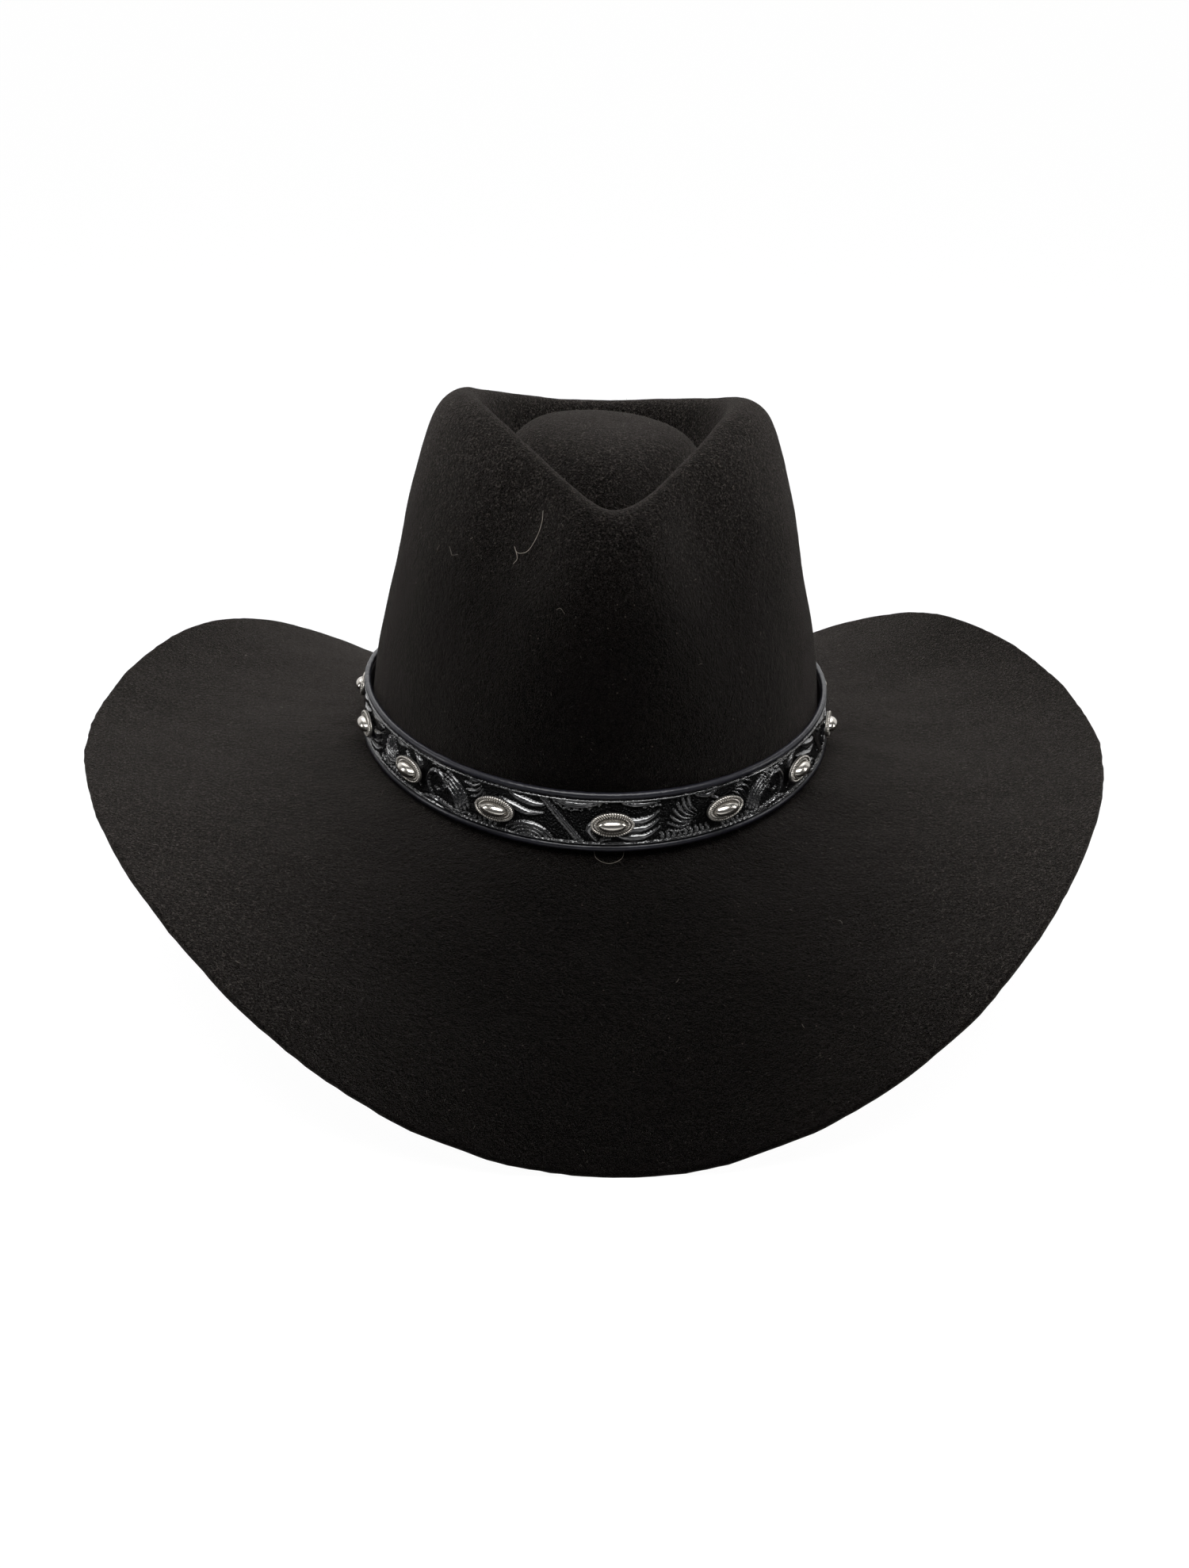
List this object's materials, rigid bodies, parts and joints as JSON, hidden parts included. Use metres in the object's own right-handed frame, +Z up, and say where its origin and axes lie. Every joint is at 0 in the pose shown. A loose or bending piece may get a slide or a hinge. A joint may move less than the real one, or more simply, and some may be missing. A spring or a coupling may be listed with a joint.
{
  "type": "western hat",
  "caption": "Black felt western hat with creased teardrop crown, curled brim, and a lift-off tooled leather hatband carrying oval silver conchos; leather sweatband and satin liner inside",
  "frame": {"origin": "on the ground, under the middle of the hat's bounding box; the hat stands on the front and back edges of its brim", "axes": "+Z up, -Y toward the front (wearer's face side), +X toward the left of the wearer"},
  "size_m": [0.3943, 0.4045, 0.2083],
  "materials": {
    "felt": "brushed fur felt with a short nap",
    "sweatband_leather": "smooth matt sheepskin leather",
    "reed": "cloth-covered plastic reed",
    "ribbon": "grosgrain ribbon",
    "satin": "satin lining cloth",
    "lining_leather": "flesh-side lining leather",
    "tooled_leather": "hand-tooled, dyed black, semi-gloss",
    "edge_leather": "smooth rolled edge, semi-gloss",
    "silver": "polished silver plate",
    "rivet_metal": "plain steel"
  },
  "bodies": {
    "hat": {"felt_body": "felt", "sweatband": "sweatband_leather", "sweatband_reed": "reed", "sweatband_bow": "ribbon", "liner_side": "satin", "liner_piping": "satin", "liner_tip": "satin"},
    "hatband": {"strap_lining": "lining_leather", "strap_tooled": "tooled_leather", "strap_edge_top": "edge_leather", "strap_edge_bottom": "edge_leather", "concho_01": "silver", "concho_02": "silver", "concho_03": "silver", "concho_04": "silver", "concho_05": "silver", "concho_06": "silver", "concho_07": "silver", "concho_08": "silver", "concho_09": "silver", "concho_10": "silver", "concho_11": "silver", "concho_12": "silver", "concho_13": "silver", "concho_14": "silver", "concho_15": "silver", "concho_rivets": "rivet_metal", "joint_cover": "tooled_leather", "cover_studs": "silver"}
  },
  "joints": [
    {"name": "hatband_lift", "type": "slide", "parent": "hat", "child": "hatband", "axis": [0, 0, 1], "range_m": [0, 0.16]}
  ]
}
